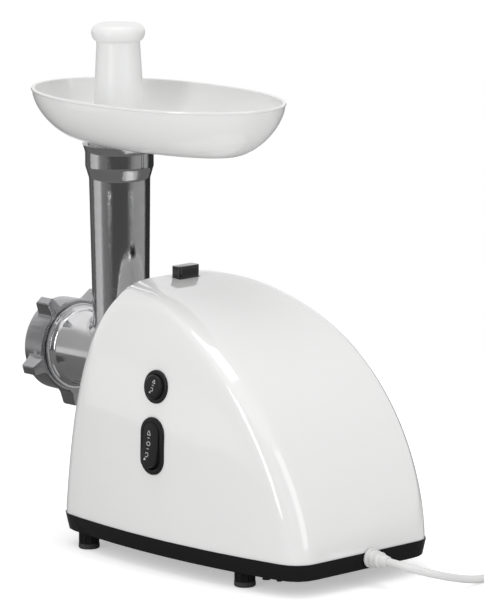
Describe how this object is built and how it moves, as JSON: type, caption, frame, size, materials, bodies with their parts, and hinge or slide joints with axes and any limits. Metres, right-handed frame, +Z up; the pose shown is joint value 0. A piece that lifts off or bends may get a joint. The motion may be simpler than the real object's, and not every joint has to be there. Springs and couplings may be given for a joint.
{
  "type": "electric meat grinder",
  "caption": "Household electric meat grinder with white housing, metal head, feed tube, oval food tray, pusher, ring nut, auger, geared motor, switches and mains cord.",
  "frame": {"origin": "middle of the footprint of the grinder without its cord, on the surface that it stands on", "axes": "+Z up, +Y to the rear where the cord leaves, +X to the side with the switches"},
  "size_m": [0.3654, 0.4292, 0.418],
  "materials": {
    "white_plastic": "glossy white moulded plastic",
    "tray_plastic": "glossy white plastic for food",
    "black_plastic": "glossy black plastic",
    "switch_plastic": "black switch plastic",
    "inner_plastic": "dark grey plastic of the inner switches and holders",
    "case_plastic": "grey filled plastic of the gearbox",
    "gear_plastic": "ivory gear plastic",
    "foot_rubber": "black rubber",
    "cast_aluminium": "polished cast aluminium",
    "steel": "machined steel",
    "screw_steel": "zinc plated steel",
    "bronze": "sintered bronze",
    "copper": "enamelled copper wire",
    "iron": "stacked iron sheets",
    "carbon": "pressed carbon",
    "cord_white": "white cord sheath"
  },
  "bodies": {
    "base": {"housing": "white_plastic", "base_pan": "black_plastic", "foot_front_left": "foot_rubber", "foot_front_right": "foot_rubber", "foot_rear_left": "foot_rubber", "foot_rear_right": "foot_rubber", "base_screws": "screw_steel", "head_socket": "cast_aluminium", "socket_screws": "screw_steel", "gearbox_case": "case_plastic", "gearbox_cover": "case_plastic", "cover_screws": "screw_steel", "case_screws": "screw_steel", "gear_axles": "steel", "front_bush": "bronze", "rear_bush": "bronze", "motor_stator": "iron", "field_coils": "copper", "motor_bracket": "case_plastic", "motor_studs": "screw_steel", "motor_bearings": "bronze", "brush_holders": "inner_plastic", "carbon_brushes": "carbon", "round_bezel": "switch_plastic", "rocker_bezel": "switch_plastic", "round_switch": "inner_plastic", "rocker_switch": "inner_plastic", "lock_spring": "steel", "strain_relief": "cord_white", "inner_lead": "cord_white", "cord_clamp": "inner_plastic", "mains_cord": "cord_white", "cord_coil": "cord_white", "cord_tail": "cord_white", "cord_tie": "inner_plastic", "plug_body": "cord_white", "plug_pins": "screw_steel"},
    "head": {"grinder_head": "cast_aluminium", "head_bush": "gear_plastic"},
    "tray": {"food_tray": "tray_plastic"},
    "pusher": {"pusher": "white_plastic"},
    "hole_plate": {"hole_plate": "steel"},
    "ring_nut": {"ring_nut": "cast_aluminium"},
    "drive": {"auger": "cast_aluminium", "cross_knife": "steel", "output_shaft": "steel", "output_gear": "gear_plastic"},
    "second_gear": {"second_gear": "gear_plastic", "second_pinion": "steel"},
    "first_gear": {"first_gear": "gear_plastic", "first_pinion": "steel"},
    "rotor": {"armature": "iron", "motor_shaft": "steel", "commutator": "copper", "motor_pinion": "steel", "cooling_fan": "inner_plastic"},
    "lock": {"lock_button": "black_plastic", "lock_slide": "inner_plastic"},
    "round_button": {"round_button": "switch_plastic"},
    "rocker_key": {"rocker_key": "switch_plastic"}
  },
  "joints": [
    {"name": "head_turn", "type": "hinge", "parent": "base", "child": "head", "pos_m": [-0.00279, 0, 0.145], "axis": [0, 1, 0], "range_deg": [0, 45]},
    {"name": "tray_lift", "type": "slide", "parent": "head", "child": "tray", "axis": [0, 0, 1], "range_m": [0, 0.04]},
    {"name": "pusher_slide", "type": "slide", "parent": "tray", "child": "pusher", "axis": [0, 0, 1], "range_m": [0, 0.14]},
    {"name": "plate_slide", "type": "slide", "parent": "head", "child": "hole_plate", "axis": [0, -1, 0], "range_m": [0, 0.0181]},
    {"name": "ring_nut_turn", "type": "hinge", "parent": "hole_plate", "child": "ring_nut", "pos_m": [-0.00279, 0, 0.145], "axis": [0, -1, 0], "range_deg": [0, 2160]},
    {"name": "rotor_spin", "type": "hinge", "parent": "base", "child": "rotor", "pos_m": [-0.00279, 0.04702, 0.06878], "axis": [0, 1, 0], "continuous": true},
    {"name": "first_gear_spin", "type": "hinge", "parent": "base", "child": "first_gear", "pos_m": [0.0132, -0.00298, 0.09417], "axis": [0, 1, 0], "continuous": true},
    {"name": "second_gear_spin", "type": "hinge", "parent": "base", "child": "second_gear", "pos_m": [-0.0228, -0.01298, 0.10469], "axis": [0, 1, 0], "continuous": true},
    {"name": "drive_spin", "type": "hinge", "parent": "base", "child": "drive", "pos_m": [-0.00279, 0, 0.145], "axis": [0, 1, 0], "continuous": true},
    {"name": "lock_press", "type": "slide", "parent": "base", "child": "lock", "axis": [0, 0, -1], "range_m": [0, 0.005], "stiffness_N_per_m": 1000, "springref_m": -0.003, "deforming": ["lock_spring"]},
    {"name": "round_button_press", "type": "slide", "parent": "base", "child": "round_button", "axis": [-0.9915, 0, -0.1301], "range_m": [0, 0.002], "stiffness_N_per_m": 800, "springref_m": -0.002},
    {"name": "rocker_tilt", "type": "hinge", "parent": "base", "child": "rocker_key", "pos_m": [0.07953, 0.02902, 0.10081], "axis": [0, 1, 0], "range_deg": [0, 16]}
  ],
  "couplings": [
    {"joint": "plate_slide", "follows": "ring_nut_turn", "m_per_rad": 0.00047746},
    {"joint": "first_gear_spin", "follows": "rotor_spin", "ratio": -0.25},
    {"joint": "second_gear_spin", "follows": "rotor_spin", "ratio": 0.0625},
    {"joint": "drive_spin", "follows": "rotor_spin", "ratio": -0.015625}
  ]
}
